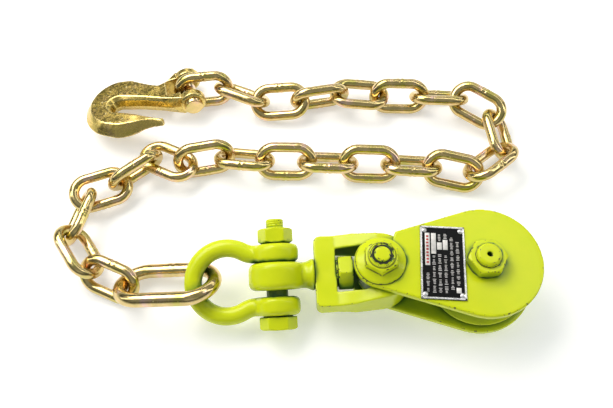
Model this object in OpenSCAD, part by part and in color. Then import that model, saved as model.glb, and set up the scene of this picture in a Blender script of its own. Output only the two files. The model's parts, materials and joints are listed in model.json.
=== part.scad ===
/* [Cheek plates] */
// Radius of the wide end of a cheek plate
plate_r = 41.5; // [40:0.5:44]
// Radius of the narrow end of a cheek plate
plate_end_r = 19; // [18.5:0.5:21]
// Thickness of a cheek plate
plate_t = 5.5; // [5:0.5:7]
// Clear space between the two cheek plates
cheek_gap = 29; // [28:0.5:32]
// Distance from the sheave axle to the pivot bolt
pivot_dist = 75; // [74:0.5:82]

/* [Sheave and axle] */
// Outside diameter of the sheave
sheave_d = 76; // [70:1:77]
// Width of the sheave at its rim
sheave_w = 25; // [22:0.5:26]
// Diameter of the rope groove
groove_d = 12; // [10:0.5:14]
// Diameter of the axle where the sheave turns
axle_d = 20; // [19:0.5:22]
// Diameter of the axle's threaded end
axle_thread_d = 17.6; // [16:0.2:18]
// Thickness of the two bolt heads that the block lies on
head_t = 6; // [5:0.5:8]
// Width of the axle nut across its flats
axle_nut_af = 25; // [24:0.5:27]
// Height of the axle nut
axle_nut_h = 9.5; // [8:0.5:12]

/* [Pivot bolt] */
// Diameter of the pivot bolt
pivot_d = 14; // [13:0.5:15]
// Diameter of the pivot bolt's threaded end
pivot_thread_d = 12; // [11:0.5:12.5]
// Radius of the flange on the pivot nut
flange_r = 18; // [17.5:0.5:18.5]
// Width of the pivot nut across its flats
pivot_nut_af = 22.5; // [21:0.5:24]

/* [Nameplate] */
// Width of the nameplate
nameplate_w = 32; // [30:0.5:32.2]
// Height of the nameplate
nameplate_h = 56; // [50:1:57]

/* [Yoke] */
// Width of the yoke across its two arms
yoke_w = 55; // [52:0.5:56]
// Distance from the pivot bolt to the yoke's outer end
yoke_len = 47; // [46:0.5:50]
// Thickness of the yoke's end wall along the swivel
yoke_wall = 15.5; // [14:0.5:16]
// Width of one arm of the yoke
yoke_arm = 10.5; // [9:0.5:11]
// Height of the yoke at its end wall
yoke_h = 14.5; // [13:0.5:18]
// Turn of the yoke on the pivot bolt as the assembly lies
yoke_turn = 3; // [2:0.5:4]

/* [Swivel eye] */
// Thickness of the swivel eye
eye_t = 20; // [18:0.5:21]
// Outside radius of the swivel eye
eye_r = 20.5; // [19:0.5:21.5]
// Distance from the yoke's end to the centre of the eye
eye_reach = 28; // [27.5:0.5:30]
// Diameter of the swivel's shank
shank_d = 10; // [9:0.5:10.5]
// Width of the swivel nut across its flats
swivel_nut_af = 24; // [22:0.5:24]
// Roll of the eye and shackle about the swivel as the assembly lies
eye_roll = 20; // [16:1:21]

/* [Shackle] */
// Diameter of the shackle's wire
bow_d = 13.1; // [12.5:0.1:13.4]
// Inside radius of the bow
bow_in_r = 18.3; // [17.5:0.1:19]
// Distance from the shackle bolt to the centre of the bow
bow_reach = 36.6; // [36:0.1:38]
// Clear space between the two ears
jaw_w = 25; // [24:0.5:26]
// Radius of the ears
ear_r = 16.5; // [15.5:0.5:17]
// Diameter of the shackle bolt
bolt_d = 16; // [15:0.5:16.5]
// Diameter of the shackle bolt's threaded end
bolt_thread_d = 12.7; // [12:0.1:13]
// Width of the shackle bolt's head across its flats
shackle_head_af = 24.2; // [22:0.2:25]
// Width of the shackle nut across its flats
shackle_nut_af = 22.6; // [21:0.2:24]

/* [Chain] */
// Diameter of the chain's wire
wire_d = 8.4; // [8:0.1:8.4]
// Outside length of a chain link
link_len = 51; // [50.6:0.2:51.6]
// Outside width of a chain link
link_w = 32; // [32:0.2:32.8]
// Diameter of the master link's wire
master_d = 10.8; // [10.4:0.1:11]
// Outside length of the master link
master_len = 83; // [82:0.5:84]
// Outside width of the master link
master_w = 47; // [46.5:0.5:48]

/* [Grab hook] */
// Thickness of the hook
hook_t = 16; // [15:0.5:17]
// Radius of the hook's bowl
bowl_r = 28; // [27:0.5:29]
// Width of the throat that holds a chain link edgeways
throat_w = 10; // [9.6:0.2:10.6]
// Length of the throat's straight part
throat_len = 37; // [34:1:38]
// Diameter of the clevis pin
pin_d = 10; // [9.5:0.5:10.5]
// Clear space between the two lugs of the clevis
clevis_gap = 17.6; // [17.4:0.2:18.6]

/* [Clearances] */
// Radial clearance of a bolt or pin in a hole that turns on it
run_clear = 0.08; // [0.05:0.01:0.1]
// Gap between two pieces that are clamped or seated together
seat_clear = 0.05; // [0.02:0.01:0.1]
// Gap between the wires of two links that pull on each other
wire_clear = 0.15; // [0.1:0.05:0.3]

/* [Hidden] */
$fn = 64;
eps = 0.01;
LINKS = 23;
function link_name(i) = str("chain_link_", i < 10 ? "0" : "", i);

paint = "#d7e32a";
plated = "#c9a648";

// heights in the block, from the floor that it lies on
rear_z = head_t;
gap_z = rear_z + plate_t;
mid_z = gap_z + cheek_gap / 2;
front_z = gap_z + cheek_gap;
top_z = front_z + plate_t;

// ---- small shapes that repeat ----

// a hexagonal prism with its corners bevelled at the chosen ends
module hex(af, h, bevel_low = true, bevel_high = true) {
    r = af / sqrt(3);
    slope = 0.55;
    in = 0.2;
    far = r + 1;
    rise = slope * (far - af / 2 + in);
    low = bevel_low ? [[0, 0], [af / 2 - in, 0], [far, rise]] : [[0, 0], [far, 0]];
    high = bevel_high ? [[far, h - rise], [af / 2 - in, h], [0, h]] : [[far, h], [0, h]];
    intersection() {
        cylinder(r = r, h = h, $fn = 6);
        rotate_extrude()
            polygon(concat(low, high));
    }
}

// a round bar with a bevelled top
module stud(d, h, bevel = 1.2) {
    cylinder(d = d, h = h - bevel);
    translate([0, 0, h - bevel])
        cylinder(d1 = d, d2 = d - 2 * bevel, h = bevel);
}

// a bent stretch of round wire: centred, in the XY plane, from one angle to another
module bend(r, d, from, to) {
    rotate([0, 0, from])
        rotate_extrude(angle = to - from)
            translate([r, 0])
                circle(d = d);
}

// an oval welded link, long axis along X, lying in the XY plane
module oval_link(len, w, d) {
    r = (w - d) / 2;
    side = (len - w) / 2;
    for (s = [-1, 1]) {
        translate([s * side, 0, 0])
            bend(r, d, s > 0 ? -90 : 90, s > 0 ? 90 : 270);
        translate([-side, s * r, 0])
            rotate([0, 90, 0])
                cylinder(d = d, h = 2 * side);
    }
    weld_bead(d, [0, -r, 0]);
}

// the low ridge that a resistance weld leaves round a bar along X
module weld_bead(d, at) {
    rise = d * 0.045;
    half = d * 0.16;
    slope = d * 0.2;
    translate(at)
        rotate([0, 90, 0])
            rotate_extrude()
                polygon([[0, -half - slope], [d / 2 - eps, -half - slope], [d / 2 + rise, -half],
                         [d / 2 + rise, half], [d / 2 - eps, half + slope], [0, half + slope]]);
}

// ---- frames: [centre, long axis, width axis] ----

function unit(v) = v / norm(v);
function level(h) = [cos(h), sin(h), 0];
function side(h) = [-sin(h), cos(h), 0];
function heading_dir(h, t) = [cos(t) * cos(h), cos(t) * sin(h), sin(t)];
function width_dir(d, h, roll) = cos(roll) * side(h) + sin(roll) * cross(d, side(h));

// puts a shape's origin at c, its X along x and its Y along y
module place(c, x, y) {
    z = cross(x, y);
    multmatrix([[x[0], y[0], z[0], c[0]],
                [x[1], y[1], z[1], c[1]],
                [x[2], y[2], z[2], c[2]],
                [0, 0, 0, 1]])
        children();
}

// direction in which one wire pulls the next: across both, on the side of d
function pull(wa, wb, d) =
    let (c = unit(cross(wa, wb)))
    c * d < 0 ? -c : c;

// swivel frame: X runs out from the yoke along the shank, Y along the shackle bolt
out_dir = -level(yoke_turn);
pivot_at = [-pivot_dist, 0, mid_z];
wall_at = pivot_at + yoke_len * out_dir;
eye_at = wall_at + eye_reach * out_dir;
bolt_dir = width_dir(out_dir, 180 + yoke_turn, 180 + eye_roll * -1);

// shackle: slid along its bolt until the upper ear meets the eye
ear_t = bow_d + 0.3;
bow_r = bow_in_r + bow_d / 2;
play = (jaw_w - eye_t) / 2 - 0.1;
shackle_at = eye_at - play * bolt_dir;
bow_crown = shackle_at + (bow_reach + bow_r) * out_dir;

// ---- the lay of the chain, from the shackle to the hook ----

// Heading and roll of the master link in degrees
master_lay = [178, 33];
// Distance that the master link stands off from the bow's inside
master_slack = 4;
// Height of the master link's far end
master_low = 14.6;
// Heading and roll of each link in degrees; a slack link also has how far it is pushed back and
// aside, in parts of the play between two links
LAY = [
    [156, -44], [124, 46], [75, -58], [22, 16, 0.9, 1.5], [38, -78, 0.9, 1.08],
    [-26, -8, 0.9, 2.1], [11, 64, 0.9, 1.5], [-7, -36, 0.5, 0.92], [-1, 45], [-2, -38],
    [-2, 42], [-3, -38], [-14, 42], [38, -38], [98, 44], [144, -30],
    [180, 44], [179, -62], [176, 10], [190, 82], [180, -26], [157, 46], [187, -61]];

link_half = (link_len - wire_d) / 2;
link_bite = wire_d + wire_clear;
link_play = (link_w - wire_d) / 2 - link_bite;
master_half = (master_len - master_d) / 2;

function back(lay) = len(lay) > 2 ? lay[2] * link_play : 0;
function aside(lay) = len(lay) > 2 ? lay[3] * link_play : 0;
function flat_w(lay) = width_dir(level(lay[0]), lay[0], lay[1]);
function resting(lay) = (link_w - wire_d) / 2 * abs(sin(lay[1])) + wire_d / 2 + 0.5;

// from a far crown to the next link's near crown: pulled tight, or pushed back and let drop
function hang(wa, wb, d, bite, lay) =
    let (steep = abs(wa[2]) > abs(wb[2]) ? -sign(wa[2]) * wa : sign(wb[2]) * wb)
    aside(lay) * steep - (bite + back(lay)) * pull(wa, wb, d);

// height for the far crown of link i, so that it and the next link both lie on the floor
function crown_height(i) =
    i + 1 < LINKS
        ? max(resting(LAY[i]),
              resting(LAY[i + 1]) - hang(flat_w(LAY[i]), flat_w(LAY[i + 1]), level(LAY[i][0]),
                                         link_bite, LAY[i + 1])[2])
        : resting(LAY[i]);

// the next link's frame, tilted until its far crown is at the wanted height
function next_frame(f, half, bite, lay, next_half, high, tilt = 0, turns = 5) =
    let (d = heading_dir(lay[0], tilt),
         w = width_dir(d, lay[0], lay[1]),
         b = f[0] + f[1] * half + hang(f[2], w, f[1], bite, lay),
         s = (high - b[2]) / (2 * next_half))
    turns == 0
        ? [b + d * next_half, d, w]
        : next_frame(f, half, bite, lay, next_half, high, asin(max(-0.6, min(0.6, s))), turns - 1);

bow_frame = [bow_crown, out_dir, bolt_dir];
master_bite = (bow_d + master_d) / 2 + master_slack;
master_frame = next_frame(bow_frame, 0, master_bite, master_lay, master_half, master_low);
first_bite = (master_d + wire_d) / 2 + wire_clear;
first_frame = next_frame(master_frame, master_half, first_bite, LAY[0], link_half, crown_height(0));
frames = [
    for (i = 0, f = first_frame; i < LINKS;
         i = i + 1,
         f = i < LINKS ? next_frame(f, link_half, link_bite, LAY[i], link_half, crown_height(i)) : f)
    f];

// hook frame: X from the bowl out past the pin, Y along the pin
hook_turn = 16;
hook_roll = 12;
hook_pitch = 2;
hook_x = heading_dir(hook_turn, hook_pitch);
hook_y = width_dir(hook_x, hook_turn, -hook_roll);
last = frames[LINKS - 1];
pin_at = last[0] + link_half * last[1]
       - ((wire_d + pin_d) / 2 + wire_clear) * pull(last[2], hook_y, last[1]);

// ---- block ----

// teardrop outline of a cheek plate
module plate_outline() {
    nx = -(plate_r - plate_end_r) / pivot_dist;
    ny = sqrt(1 - nx * nx);
    circle(r = plate_r);
    translate([-pivot_dist, 0])
        circle(r = plate_end_r);
    polygon([[plate_r * nx, plate_r * ny], [-pivot_dist + plate_end_r * nx, plate_end_r * ny],
             [-pivot_dist + plate_end_r * nx, -plate_end_r * ny], [plate_r * nx, -plate_r * ny]]);
}

module rear_cheek_plate() {
    color(paint)
        difference() {
            translate([0, 0, rear_z])
                linear_extrude(plate_t)
                    plate_outline();
            translate([0, 0, rear_z - 1])
                cylinder(d = axle_d + 2 * seat_clear, h = plate_t + 2);
            translate([-pivot_dist, 0, rear_z - 1])
                cylinder(d = pivot_d + 2 * seat_clear, h = plate_t + 2);
        }
}

// the swing cheek: its slot runs out of the edge, so that it clears the pivot bolt as it turns
module front_cheek_plate() {
    slot_w = pivot_d + 0.6;
    color(paint)
        difference() {
            translate([0, 0, front_z])
                linear_extrude(plate_t)
                    plate_outline();
            translate([0, 0, front_z - 1])
                cylinder(d = axle_thread_d + 2 * run_clear, h = plate_t + 2);
            translate([-pivot_dist, 0, front_z - 1])
                cylinder(d = slot_w, h = plate_t + 2);
            rotate([0, 0, 158])
                rotate_extrude(angle = 22)
                    translate([pivot_dist - slot_w / 2, front_z - 1])
                        square([slot_w, plate_t + 2]);
        }
}

bush_d = axle_d + 6;
bush_len = cheek_gap - 0.3;

module sheave() {
    rim = sheave_d / 2;
    half = sheave_w / 2;
    // the groove opens at its mouth to a little over the rope's width
    depth = groove_d * 0.62;
    color(paint)
        translate([0, 0, mid_z])
            difference() {
                rotate_extrude()
                    difference() {
                        polygon([[bush_d / 2, -half], [rim - 2, -half], [rim, -half + 2], [rim, half - 2],
                                 [rim - 2, half], [bush_d / 2, half]]);
                        translate([rim - depth, 0])
                            circle(d = groove_d);
                        polygon([[rim - depth, -groove_d / 2], [rim + 1, -groove_d * 0.8],
                                 [rim + 1, groove_d * 0.8], [rim - depth, groove_d / 2]]);
                        // shallow dish in each face
                        for (s = [-1, 1])
                            translate([bush_d / 2 + 4, s * half - (s > 0 ? 3 : 0)])
                                square([rim - depth - groove_d / 2 - bush_d / 2 - 8, 3]);
                    }
            }
}

module sheave_bushing() {
    color("#b08d57")
        translate([0, 0, mid_z - bush_len / 2])
            difference() {
                cylinder(d = bush_d, h = bush_len);
                translate([0, 0, -1])
                    cylinder(d = axle_d + 2 * run_clear, h = bush_len + 2);
            }
}

axle_top = top_z + axle_nut_h + 4;

module axle_bolt() {
    grease_d = 3.6;
    color(paint)
        difference() {
            union() {
                hex(axle_nut_af + 1, head_t, true, false);
                cylinder(d = axle_d, h = front_z);
                stud(axle_thread_d, axle_top, 1.6);
            }
            // grease way down from the end and out under the sheave
            translate([0, 0, mid_z])
                cylinder(d = grease_d, h = axle_top);
            translate([0, 0, mid_z])
                rotate([0, 90, 0])
                    cylinder(d = 3, h = axle_d);
        }
}

module axle_nut() {
    color(paint)
        translate([0, 0, top_z])
            difference() {
                union() {
                    cylinder(d = axle_nut_af * 1.04, h = 0.8);
                    rotate([0, 0, 4])
                        hex(axle_nut_af, axle_nut_h);
                }
                translate([0, 0, -1])
                    cylinder(d = axle_thread_d + 2 * seat_clear, h = axle_nut_h + 2);
            }
}

lock_h = 12.5;
pivot_top = top_z + lock_h + 1.5;

module pivot_bolt() {
    color(paint)
        translate([-pivot_dist, 0, 0]) {
            hex(pivot_nut_af, head_t, true, false);
            cylinder(d = pivot_d, h = front_z + plate_t - 1);
            stud(pivot_thread_d, pivot_top, 1);
        }
}

module pivot_flange_nut() {
    hex_r = pivot_nut_af / sqrt(3);
    color(paint)
        translate([-pivot_dist, 0, top_z + seat_clear])
            difference() {
                union() {
                    rotate_extrude()
                        polygon([[0, 0], [flange_r, 0], [flange_r, 1.4], [flange_r - 0.8, 2.2],
                                 [hex_r - 0.5, 4.6], [0, 4.6]]);
                    rotate([0, 0, 30])
                        hex(pivot_nut_af, 10.5, false, true);
                    rotate_extrude()
                        polygon([[0, 0], [9.4, 0], [9.4, lock_h - 1], [8.9, lock_h], [0, lock_h]]);
                }
                translate([0, 0, -1])
                    cylinder(d = pivot_thread_d + 2 * seat_clear, h = lock_h + 2);
                translate([0, 0, lock_h - 3])
                    cylinder(d = lock_ring_d, h = 4);
            }
}

lock_ring_d = 16.4;

module nylon_lock_ring() {
    color("#151515")
        translate([-pivot_dist, 0, top_z + seat_clear + lock_h - 3])
            difference() {
                cylinder(d = lock_ring_d, h = 2.7);
                translate([0, 0, -1])
                    cylinder(d = pivot_thread_d + 2 * seat_clear, h = 5);
            }
}

nameplate_t = 1;
nameplate_turn = -3;
// the plate passes the corners of the axle nut when its cheek swings
nameplate_room = 0.4;
nameplate_at = [-(axle_nut_af / sqrt(3) + nameplate_room + nameplate_w / 2), -1.2, top_z];
rivet_d = 3;

module nameplate_frame() {
    translate(nameplate_at)
        rotate([0, 0, nameplate_turn])
            children();
}

module rivet_spots() {
    for (x = [-1, 1], y = [-1, 1])
        translate([x * (nameplate_w / 2 - 3), y * (nameplate_h / 2 - 3.4), 0])
            children();
}

module nameplate() {
    color("#1a1a1a")
        nameplate_frame()
            difference() {
                translate([-nameplate_w / 2, -nameplate_h / 2, 0])
                    cube([nameplate_w, nameplate_h, nameplate_t]);
                rivet_spots()
                    translate([0, 0, -1])
                        cylinder(d = rivet_d + 2 * seat_clear, h = nameplate_t + 2);
            }
}

// four small round-headed rivets
module nameplate_rivets() {
    color("silver")
        nameplate_frame()
            rivet_spots() {
                cylinder(d = rivet_d, h = nameplate_t);
                translate([0, 0, nameplate_t])
                    rotate_extrude()
                        intersection() {
                            translate([0, -2.2])
                                circle(r = 3);
                            square([rivet_d, 3]);
                        }
            }
}

// ---- yoke and swivel ----

boss_wall = 8;
boss_r = pivot_d / 2 + boss_wall;

// plan of the yoke, pivot at the origin and the end wall towards -X
module yoke_plan() {
    half = yoke_w / 2;
    corner = 4.5;
    // the sides run straight to here and then close in on the round end
    straight = 18;
    end_r = half - 2.5;
    reach = norm([straight, half]);
    touch = atan2(half, -straight) - acos(end_r / reach);
    window_l = yoke_len - yoke_wall;
    window_half = half - yoke_arm;
    fillet = 8;
    difference() {
        union() {
            polygon(concat([[-straight, -half]],
                           [for (i = [-18 : 18]) end_r * [cos(i * touch / 18), sin(i * touch / 18)]],
                           [[-straight, half]]));
            translate([-yoke_len + corner, -half])
                square([yoke_len - corner - straight + eps, yoke_w]);
            translate([-yoke_len, -half + corner])
                square([corner + eps, yoke_w - 2 * corner]);
            for (s = [-1, 1])
                translate([-yoke_len + corner, s * (half - corner)])
                    circle(r = corner);
        }
        difference() {
            union() {
                translate([-window_l, -window_half])
                    square([window_l - 12, 2 * window_half]);
                translate([-12 - eps, -window_half + fillet])
                    square([fillet + eps, 2 * (window_half - fillet)]);
                for (s = [-1, 1])
                    translate([-12, s * (window_half - fillet)])
                        circle(r = fillet);
            }
            circle(r = boss_r);
        }
    }
}

// side view of the yoke: thin at the end wall, filling the cheeks at the pivot
module yoke_side() {
    thin = yoke_h / 2;
    thick = cheek_gap / 2 - 0.4;
    crease = yoke_len - yoke_wall;
    polygon([[-yoke_len - 1, -thin], [-crease, -thin], [0, -thick], [yoke_w, -thick],
             [yoke_w, thick], [0, thick], [-crease, thin], [-yoke_len - 1, thin]]);
}

module yoke_frame() {
    translate(pivot_at)
        rotate([0, 0, yoke_turn])
            children();
}

module yoke() {
    color(paint)
        yoke_frame()
            difference() {
                intersection() {
                    translate([0, 0, -cheek_gap])
                        linear_extrude(2 * cheek_gap)
                            yoke_plan();
                    translate([0, yoke_w, 0])
                        rotate([90, 0, 0])
                            linear_extrude(2 * yoke_w)
                                yoke_side();
                }
                translate([0, 0, -cheek_gap])
                    cylinder(d = pivot_d + 2 * run_clear, h = 2 * cheek_gap);
                translate([-yoke_len - 1, 0, 0])
                    rotate([0, 90, 0])
                        cylinder(d = shank_d + 2 * run_clear, h = yoke_wall + 2);
            }
}

washer_t = 1.5;
swivel_nut_h = 11;
shank_len = yoke_wall + washer_t + swivel_nut_h + 1.2;

// swivel frame: origin at the eye's centre, X back towards the yoke, Y along the shackle bolt
module swivel_frame() {
    place(eye_at, -out_dir, bolt_dir)
        children();
}

module swivel_eye() {
    collar_r = 11.7;
    neck_r = eye_t / 2;
    collar_w = 6;
    wall_x = eye_reach - 0.3;
    round_r = 5;
    color(paint)
        swivel_frame()
            difference() {
                union() {
                    // the eye, a disc with a rounded rim
                    rotate([90, 0, 0])
                        rotate_extrude() {
                            translate([0, -eye_t / 2])
                                square([eye_r - round_r, eye_t]);
                            translate([0, -eye_t / 2 + round_r])
                                square([eye_r, eye_t - 2 * round_r]);
                            for (s = [-1, 1])
                                translate([eye_r - round_r, s * (eye_t / 2 - round_r)])
                                    circle(r = round_r);
                        }
                    // neck, flared collar and shank
                    rotate([0, 90, 0])
                        rotate_extrude()
                            polygon([[0, 0], [neck_r - 0.4, 0], [neck_r - 0.4, wall_x - collar_w],
                                     [collar_r, wall_x - 1.6], [collar_r, wall_x], [shank_d / 2, wall_x],
                                     [shank_d / 2, wall_x + 0.3 + shank_len - 1],
                                     [shank_d / 2 - 1, wall_x + 0.3 + shank_len],
                                     [0, wall_x + 0.3 + shank_len]]);
                }
                rotate([90, 0, 0])
                    cylinder(d = bolt_d + 2 * run_clear, h = 2 * eye_t, center = true);
            }
}

module swivel_washer() {
    color("#6f7f30")
        swivel_frame()
            translate([eye_reach + yoke_wall + 0.1, 0, 0])
                rotate([0, 90, 0])
                    difference() {
                        cylinder(r = shank_d / 2 + 5, h = washer_t - 0.15);
                        translate([0, 0, -1])
                            cylinder(d = shank_d + 2 * run_clear, h = washer_t + 2);
                    }
}

module swivel_nut() {
    color(paint)
        swivel_frame()
            translate([eye_reach + yoke_wall + washer_t, 0, 0])
                rotate([0, 90, 0])
                    difference() {
                        hex(swivel_nut_af, swivel_nut_h, true, true);
                        translate([0, 0, -1])
                            cylinder(d = shank_d + 2 * seat_clear, h = swivel_nut_h + 2);
                    }
}

// ---- shackle ----

// shackle frame: origin between the ears, X out towards the crown, Y along the bolt to the nut
module shackle_frame() {
    place(shackle_at, out_dir, bolt_dir)
        children();
}

module shackle_bow() {
    ear_y = (jaw_w + ear_t) / 2;
    // the reversed bend that joins an ear to the bow, with a short straight between the two
    knee_r = 14;
    straight = 1;
    lap = 0.15;
    apart = norm([bow_r + knee_r, straight]);
    knee_x = bow_reach - sqrt(pow(apart, 2) - pow(ear_y + knee_r, 2));
    meet = acos((bow_reach - knee_x) / apart) + asin(straight / apart);
    color(paint)
        shackle_frame()
            difference() {
                union() {
                    translate([bow_reach, 0, 0])
                        bend(bow_r, bow_d, -180 + meet, 180 - meet);
                    for (s = [-1, 1])
                        mirror([0, s < 0 ? 1 : 0, 0]) {
                            translate([bow_reach, 0, 0])
                                rotate([0, 0, 180 - meet])
                                    translate([bow_r, 0, 0])
                                        rotate([-90, 0, 0])
                                            translate([0, 0, -lap])
                                                cylinder(d = bow_d + lap, h = straight + 2 * lap);
                            translate([knee_x, ear_y + knee_r, 0])
                                bend(knee_r, bow_d, -90, -meet);
                            translate([0, ear_y, 0])
                                rotate([0, 90, 0])
                                    cylinder(d = bow_d + lap, h = knee_x + lap);
                            translate([0, ear_y, 0])
                                ear();
                        }
                }
                rotate([90, 0, 0])
                    cylinder(d = bolt_d + 2 * run_clear, h = 2 * jaw_w + 4 * ear_t, center = true);
            }
}

// a flattened ear with a bevelled rim, its axis along Y
module ear() {
    bevel = 2.4;
    half = ear_t / 2;
    rotate([90, 0, 0])
        rotate_extrude()
            polygon([[0, -half], [ear_r - bevel, -half], [ear_r, -half + bevel], [ear_r, half - bevel],
                     [ear_r - bevel, half], [0, half]]);
}

shackle_head_t = 10.5;
shackle_nut_h = 11.6;
bolt_low = -(jaw_w / 2 + ear_t + seat_clear);
bolt_high = jaw_w / 2 + ear_t + 0.6;

// the bolt's own axis is along the frame's Y
module along_bolt(y) {
    shackle_frame()
        translate([0, y, 0])
            rotate([-90, 0, 0])
                children();
}

module shackle_bolt() {
    face = 1;
    color(paint) {
        along_bolt(bolt_low - shackle_head_t)
            hex(shackle_head_af, shackle_head_t - face, true, false);
        along_bolt(bolt_low - face)
            cylinder(d = shackle_head_af - 3.2, h = face);
        along_bolt(bolt_low - eps)
            cylinder(d = bolt_d, h = bolt_high - 1 - bolt_low);
        along_bolt(0)
            stud(bolt_thread_d, bolt_high + shackle_nut_h + 6.4, 0.8);
    }
}

module shackle_nut() {
    face = 0.9;
    color(paint)
        along_bolt(bolt_high - 0.55)
            difference() {
                union() {
                    cylinder(d = shackle_nut_af - 2.1, h = face);
                    translate([0, 0, face])
                        hex(shackle_nut_af, shackle_nut_h - face);
                }
                translate([0, 0, -1])
                    cylinder(d = bolt_thread_d + 2 * seat_clear, h = shackle_nut_h + 2);
            }
}

// ---- chain ----

module master_link() {
    color(plated)
        place(master_frame[0], master_frame[1], master_frame[2])
            oval_link(master_len, master_w, master_d);
}

module chain_link(i) {
    f = frames[i - 1];
    color(plated)
        place(f[0], f[1], f[2])
            oval_link(link_len, link_w, wire_d);
}

// ---- grab hook ----

throat_turn = -26;
bowl_at = [-60, -5, 0];
lug_t = 9.4;
lug_r = 11;

module hook_frame() {
    place(pin_at, hook_x, hook_y)
        children();
}

// throat frame: origin at the bowl's centre, X out along the throat
module throat_frame() {
    translate(bowl_at)
        rotate([0, 0, throat_turn])
            children();
}

// cross-section of the bowl: flat faces with a wide bevel to a ridge at mid-height
module bowl_section() {
    half = hook_t / 2;
    inner = throat_w / 2;
    polygon([[inner, 0], [inner + 4.5, -half], [bowl_r - 6, -half], [bowl_r, 0],
             [bowl_r - 6, half], [inner + 4.5, half]]);
}

// thin slice of a bar along X, from y = lo to y = hi, with the same bevels
module slice(x, lo, hi, bevel_lo, bevel_hi, half) {
    translate([x, 0, 0])
        rotate([90, 0, 90])
            linear_extrude(0.1)
                polygon([[lo, 0], [lo + bevel_lo, -half], [hi - bevel_hi, -half], [hi, 0],
                         [hi - bevel_hi, half], [lo + bevel_lo, half]]);
}

module grab_hook() {
    color(plated)
        hook_frame()
            difference() {
                union() {
                    throat_frame() {
                        rotate([0, 0, 88])
                            rotate_extrude(angle = 182)
                                bowl_section();
                        hook_point();
                    }
                    hook_shank();
                    clevis_lugs();
                }
                clevis_cut();
            }
}

// below the throat, narrowing to the point
module hook_point() {
    half = hook_t / 2 - 0.1;
    inner = -throat_w / 2 - 0.1;
    hull() {
        slice(-1, -bowl_r + 0.1, inner, 6, 4.5, half);
        slice(8, -bowl_r + 1.5, inner - 0.1, 6, 4.5, half - 0.1);
    }
    hull() {
        slice(8, -bowl_r + 1.5, inner - 0.1, 6, 4.5, half - 0.1);
        slice(21, -17.4, inner - 0.2, 4.6, 4, half - 0.8);
    }
    hull() {
        slice(21, -17.4, inner - 0.2, 4.6, 4, half - 0.8);
        slice(throat_len + 3, -8.4, inner - 0.8, 0.9, 0.9, 3.4);
    }
}

// above the throat: dips behind the bowl, then spreads to the two lugs
module hook_shank() {
    half = hook_t / 2;
    hull() {
        throat_frame()
            slice(-1, throat_w / 2 + 0.1, bowl_r - 0.1, 4.5, 6, half - 0.1);
        slice(-30, -10.9, 10, 4.5, 4, half - 0.6);
    }
    hull() {
        slice(-30, -10.9, 10, 4.5, 4, half - 0.6);
        slice(-18, -16.4, 12.8, 4, 4, half + 0.4);
    }
    hull() {
        slice(-18, -16.4, 12.8, 4, 4, half + 0.4);
        slice(-8, -clevis_gap / 2 - lug_t, clevis_gap / 2 + lug_t, 1.6, 1.6, half + 1.2);
    }
}

// the two lugs of the clevis: rims bevelled outside, and flared inside where the link turns
module clevis_lugs() {
    rim = 1.6;
    flare = 2.6;
    for (s = [-1, 1])
        translate([0, s * clevis_gap / 2, 0])
            rotate([s * -90, 0, 0]) {
                cylinder(r1 = lug_r - flare, r2 = lug_r, h = flare);
                translate([0, 0, flare])
                    cylinder(r = lug_r, h = lug_t - rim - flare);
                translate([0, 0, lug_t - rim])
                    cylinder(r1 = lug_r, r2 = lug_r - rim, h = rim);
            }
}

// the way between the lugs: open in front of the pin and round behind it
module clevis_cut() {
    reach = 40;
    slot_r = 20.5;
    translate([0, -clevis_gap / 2, -reach / 2])
        cube([reach, clevis_gap, reach]);
    rotate([90, 0, 0])
        cylinder(r = slot_r, h = clevis_gap, center = true);
    rotate([90, 0, 0])
        cylinder(d = pin_d + 2 * run_clear, h = clevis_gap + 4 * lug_t, center = true);
}

pin_reach = clevis_gap / 2 + lug_t;

module clevis_pin() {
    color(plated)
        hook_frame()
            difference() {
                union() {
                    rotate([-90, 0, 0])
                        translate([0, 0, -pin_reach - seat_clear])
                            stud(pin_d, 2 * pin_reach + 6, 1);
                    rotate([90, 0, 0])
                        translate([0, 0, pin_reach + seat_clear])
                            cylinder(d1 = 16, d2 = 14.6, h = 3.6);
                }
                translate([0, pin_reach + 3.2, 0])
                    rotate([0, 60, 0])
                        cylinder(d = 2.7, h = 30, center = true);
            }
}

module clevis_cotter() {
    color("#d9d2a8")
        hook_frame()
            translate([0, pin_reach + 3.2, 0])
                rotate([0, 60, 0])
                    cylinder(d = 2.5, h = 16, center = true);
}

rear_cheek_plate();
front_cheek_plate();
sheave();
sheave_bushing();
axle_bolt();
axle_nut();
pivot_bolt();
pivot_flange_nut();
nylon_lock_ring();
nameplate();
nameplate_rivets();
yoke();
swivel_eye();
swivel_washer();
swivel_nut();
shackle_bow();
shackle_bolt();
shackle_nut();
master_link();
for (i = [1 : LINKS])
    chain_link(i);
grab_hook();
clevis_pin();
clevis_cotter();
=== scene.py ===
"""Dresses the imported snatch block, its shackle, chain and grab hook, and lights them on a pale floor."""

import json
import math
import random

import bmesh
import bpy
import numpy as np
from bpy.props import FloatProperty, FloatVectorProperty, IntProperty, PointerProperty
from mathutils import Matrix, Vector, noise
from mathutils.bvhtree import BVHTree

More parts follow.
